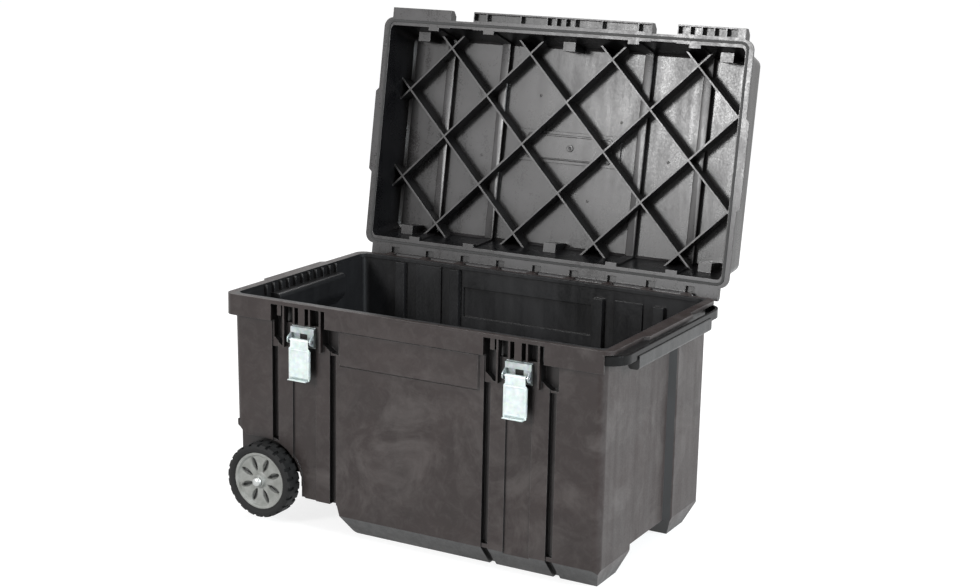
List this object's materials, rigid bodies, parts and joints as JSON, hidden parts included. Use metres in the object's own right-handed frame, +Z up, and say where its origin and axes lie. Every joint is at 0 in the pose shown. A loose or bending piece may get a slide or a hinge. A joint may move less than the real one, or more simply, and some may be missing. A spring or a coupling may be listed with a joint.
{
  "type": "jobsite storage box",
  "caption": "Wheeled jobsite storage box: deep moulded tub, hinged ribbed lid standing open, two swing-up latches, pull-out end handle.",
  "frame": {"origin": "middle of the base's cross foot, on the ground plane", "axes": "+Z up, +X towards the pull-handle end, -X the wheel end, -Y the latch side, +Y the hinge side"},
  "size_m": [0.975, 0.8151, 1.0953],
  "materials": {
    "charcoal_plastic": "foam-moulded polyolefin, satin with faint swirl marks",
    "black_plastic": "moulded, satin",
    "grey_plastic": "moulded, satin light grey",
    "tyre_rubber": "matt",
    "seal_rubber": "matt",
    "galvanised_steel": "bright zinc sheet",
    "zinc_steel": "drawn bar, zinc plated",
    "bright_cap": "bright plated",
    "black_enamel": "gloss black"
  },
  "bodies": {
    "base": {"tub": "charcoal_plastic", "axle": "zinc_steel", "axle_spacers": "black_plastic", "axle_cap_front": "bright_cap", "axle_cap_rear": "bright_cap", "hinge_rod": "zinc_steel", "latch_bracket_left": "galvanised_steel", "latch_bracket_right": "galvanised_steel", "latch_rivets_left": "galvanised_steel", "latch_rivets_right": "galvanised_steel", "latch_pin_left": "zinc_steel", "latch_pin_right": "zinc_steel"},
    "lid": {"lid": "charcoal_plastic", "lid_seal": "seal_rubber"},
    "left_hasp": {"hasp_left": "galvanised_steel"},
    "right_hasp": {"hasp_right": "galvanised_steel"},
    "handle": {"handle_bar": "black_enamel", "handle_stops": "black_plastic", "handle_grip": "charcoal_plastic"},
    "front_wheel": {"wheel_disc_front": "grey_plastic", "tyre_front": "tyre_rubber"},
    "rear_wheel": {"wheel_disc_rear": "grey_plastic", "tyre_rear": "tyre_rubber"}
  },
  "joints": [
    {"name": "lid_hinge", "type": "hinge", "parent": "base", "child": "lid", "pos_m": [0, 0.2996, 0.5043], "axis": [1, 0, 0], "range_deg": [0, 99]},
    {"name": "left_hasp_swing", "type": "hinge", "parent": "base", "child": "left_hasp", "pos_m": [-0.262, -0.281, 0.432], "axis": [-1, 0, 0], "range_deg": [0, 180]},
    {"name": "right_hasp_swing", "type": "hinge", "parent": "base", "child": "right_hasp", "pos_m": [0.262, -0.281, 0.432], "axis": [-1, 0, 0], "range_deg": [0, 180]},
    {"name": "handle_slide", "type": "slide", "parent": "base", "child": "handle", "axis": [1, 0, 0], "range_m": [0, 0.104]},
    {"name": "front_wheel_spin", "type": "hinge", "parent": "base", "child": "front_wheel", "pos_m": [-0.363, -0.2765, 0.102], "axis": [0, 1, 0], "continuous": true},
    {"name": "rear_wheel_spin", "type": "hinge", "parent": "base", "child": "rear_wheel", "pos_m": [-0.363, 0.2765, 0.102], "axis": [0, 1, 0], "continuous": true}
  ]
}
